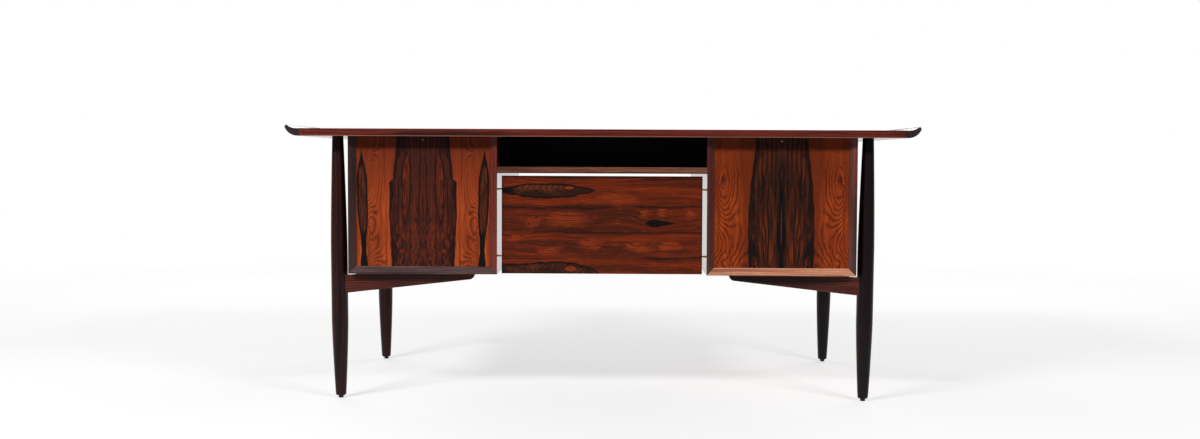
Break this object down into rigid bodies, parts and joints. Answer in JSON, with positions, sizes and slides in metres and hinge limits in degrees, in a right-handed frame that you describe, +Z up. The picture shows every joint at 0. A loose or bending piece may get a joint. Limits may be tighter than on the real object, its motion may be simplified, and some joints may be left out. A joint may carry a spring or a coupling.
{
  "type": "executive desk",
  "caption": "Free-standing writing desk: worktop with upturned end lips on turned legs, two drawer pedestals on tapered arms, open shelf and modesty panel.",
  "frame": {"origin": "on the floor, under the middle of the worktop", "axes": "+X along the worktop, to the right seen from the visitor's side; +Y towards the user's side, where the drawers open; +Z up"},
  "size_m": [1.682, 0.84, 0.7405],
  "materials": {
    "worktop_veneer": "satin oiled rosewood veneer, grain along the length",
    "edging_rosewood": "satin oiled solid rosewood, straight reddish grain",
    "lip_rosewood": "satin oiled solid rosewood, very dark",
    "leg_rosewood": "satin oiled turned solid rosewood, very dark",
    "arm_rosewood": "satin oiled solid rosewood",
    "case_rosewood": "satin oiled rosewood with solid bevelled edges",
    "panel_veneer": "book-matched rosewood veneer, upright grain with dark figure",
    "modesty_veneer": "rosewood veneer, level grain with dark islands",
    "drawer_front_veneer": "rosewood veneer, upright grain",
    "pull_rosewood": "satin oiled solid rosewood",
    "shelf_back_stain": "dark stained board",
    "drawer_hardwood": "clear lacquered light hardwood",
    "runner_hardwood": "bare hardwood",
    "drawer_plywood": "clear lacquered plywood",
    "spacer_brass": "polished brass",
    "screw_metal": "bright plated steel",
    "glide_plastic": "black moulded plastic"
  },
  "bodies": {
    "desk": {"top_panel": "worktop_veneer", "top_edgings": "edging_rosewood", "top_lip_left": "lip_rosewood", "top_lip_right": "lip_rosewood", "leg_visitor_left": "leg_rosewood", "leg_visitor_right": "leg_rosewood", "leg_user_left": "leg_rosewood", "leg_user_right": "leg_rosewood", "arm_visitor_left": "arm_rosewood", "arm_visitor_right": "arm_rosewood", "arm_user_left": "arm_rosewood", "arm_user_right": "arm_rosewood", "leg_glides": "glide_plastic", "left_outer_side": "case_rosewood", "left_inner_side": "case_rosewood", "left_case_bottom": "case_rosewood", "left_case_top": "runner_hardwood", "left_visitor_panel": "panel_veneer", "right_outer_side": "case_rosewood", "right_inner_side": "case_rosewood", "right_case_bottom": "case_rosewood", "right_case_top": "runner_hardwood", "right_visitor_panel": "panel_veneer", "shelf_board": "case_rosewood", "shelf_back": "shelf_back_stain", "modesty_panel": "modesty_veneer", "modesty_spacers": "spacer_brass", "drawer_runners": "runner_hardwood", "arm_screws": "screw_metal", "top_screws": "screw_metal", "panel_screws": "screw_metal"},
    "left_bottom_drawer": {"left_bottom_drawer_front": "drawer_front_veneer", "left_bottom_drawer_box": "drawer_hardwood", "left_bottom_drawer_bottom": "drawer_plywood", "left_bottom_drawer_pull": "pull_rosewood"},
    "left_middle_drawer": {"left_middle_drawer_front": "drawer_front_veneer", "left_middle_drawer_box": "drawer_hardwood", "left_middle_drawer_bottom": "drawer_plywood", "left_middle_drawer_pull": "pull_rosewood"},
    "left_top_drawer": {"left_top_drawer_front": "drawer_front_veneer", "left_top_drawer_box": "drawer_hardwood", "left_top_drawer_bottom": "drawer_plywood", "left_top_drawer_pull": "pull_rosewood"},
    "right_bottom_drawer": {"right_bottom_drawer_front": "drawer_front_veneer", "right_bottom_drawer_box": "drawer_hardwood", "right_bottom_drawer_bottom": "drawer_plywood", "right_bottom_drawer_pull": "pull_rosewood"},
    "right_middle_drawer": {"right_middle_drawer_front": "drawer_front_veneer", "right_middle_drawer_box": "drawer_hardwood", "right_middle_drawer_bottom": "drawer_plywood", "right_middle_drawer_pull": "pull_rosewood"},
    "right_top_drawer": {"right_top_drawer_front": "drawer_front_veneer", "right_top_drawer_box": "drawer_hardwood", "right_top_drawer_bottom": "drawer_plywood", "right_top_drawer_pull": "pull_rosewood"},
    "centre_drawer": {"centre_drawer_front": "drawer_front_veneer", "centre_drawer_box": "drawer_hardwood", "centre_drawer_bottom": "drawer_plywood", "centre_drawer_pull": "pull_rosewood"}
  },
  "joints": [
    {"name": "left_bottom_drawer_slide", "type": "slide", "parent": "desk", "child": "left_bottom_drawer", "axis": [0, 1, 0], "range_m": [0, 0.38]},
    {"name": "left_middle_drawer_slide", "type": "slide", "parent": "desk", "child": "left_middle_drawer", "axis": [0, 1, 0], "range_m": [0, 0.38]},
    {"name": "left_top_drawer_slide", "type": "slide", "parent": "desk", "child": "left_top_drawer", "axis": [0, 1, 0], "range_m": [0, 0.38]},
    {"name": "right_bottom_drawer_slide", "type": "slide", "parent": "desk", "child": "right_bottom_drawer", "axis": [0, 1, 0], "range_m": [0, 0.38]},
    {"name": "right_middle_drawer_slide", "type": "slide", "parent": "desk", "child": "right_middle_drawer", "axis": [0, 1, 0], "range_m": [0, 0.38]},
    {"name": "right_top_drawer_slide", "type": "slide", "parent": "desk", "child": "right_top_drawer", "axis": [0, 1, 0], "range_m": [0, 0.38]},
    {"name": "centre_drawer_slide", "type": "slide", "parent": "desk", "child": "centre_drawer", "axis": [0, 1, 0], "range_m": [0, 0.3]}
  ]
}
